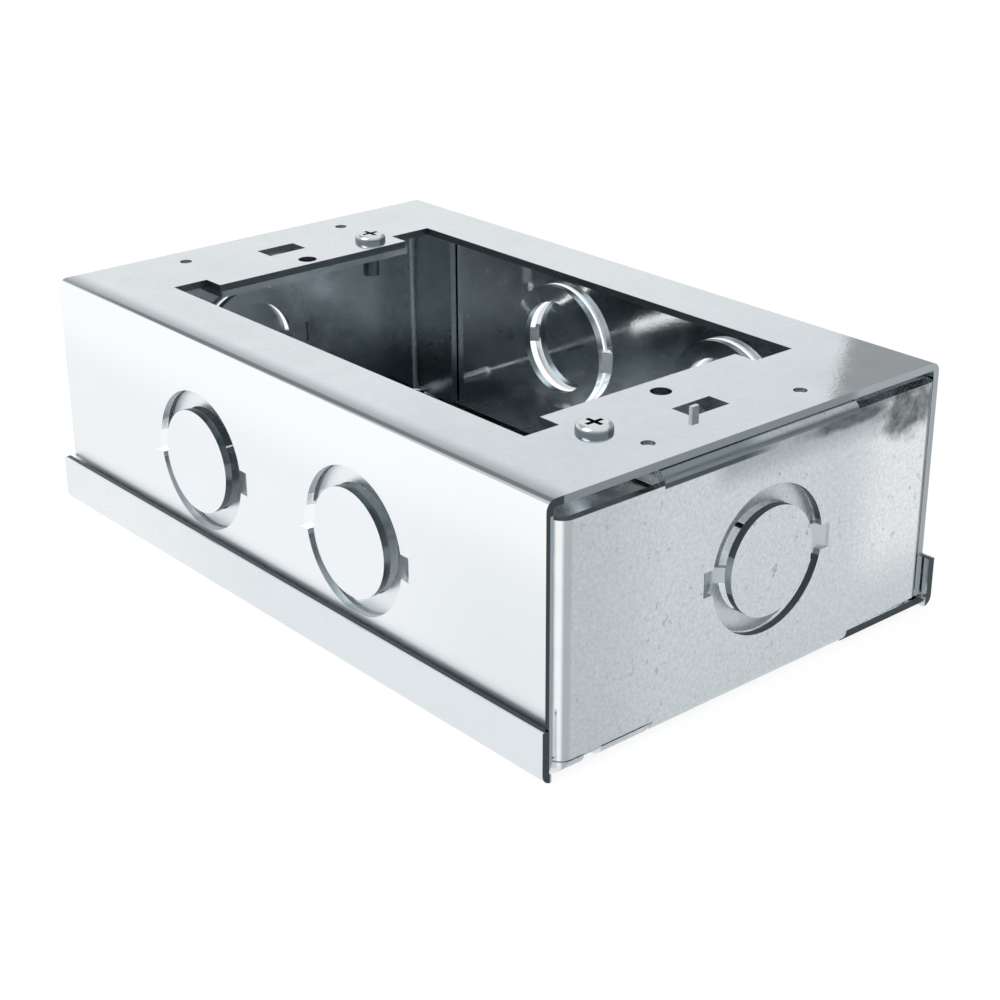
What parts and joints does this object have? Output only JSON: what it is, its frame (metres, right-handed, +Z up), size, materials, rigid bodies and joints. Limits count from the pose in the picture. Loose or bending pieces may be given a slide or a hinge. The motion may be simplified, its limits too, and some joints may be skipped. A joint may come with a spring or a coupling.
{
  "type": "device box",
  "caption": "Low galvanised steel wiring box: a folded tray with end walls, a channel cover with a device opening, concentric knockouts and cover screws.",
  "frame": {"origin": "centre of the underside of the tray's floor", "axes": "+X along the box towards the end wall that the picture shows, +Y across it, +Z up through the device opening"},
  "size_m": [0.1586, 0.1016, 0.052],
  "materials": {
    "galvanised_cover": "bright galvanised sheet, satin",
    "galvanised_tray": "galvanised sheet, mottled satin",
    "zinc_screw": "zinc plated"
  },
  "bodies": {
    "root": {"cover": "galvanised_cover", "base_tray": "galvanised_tray", "cover_screw_near": "zinc_screw", "cover_screw_far": "zinc_screw"}
  },
  "joints": []
}
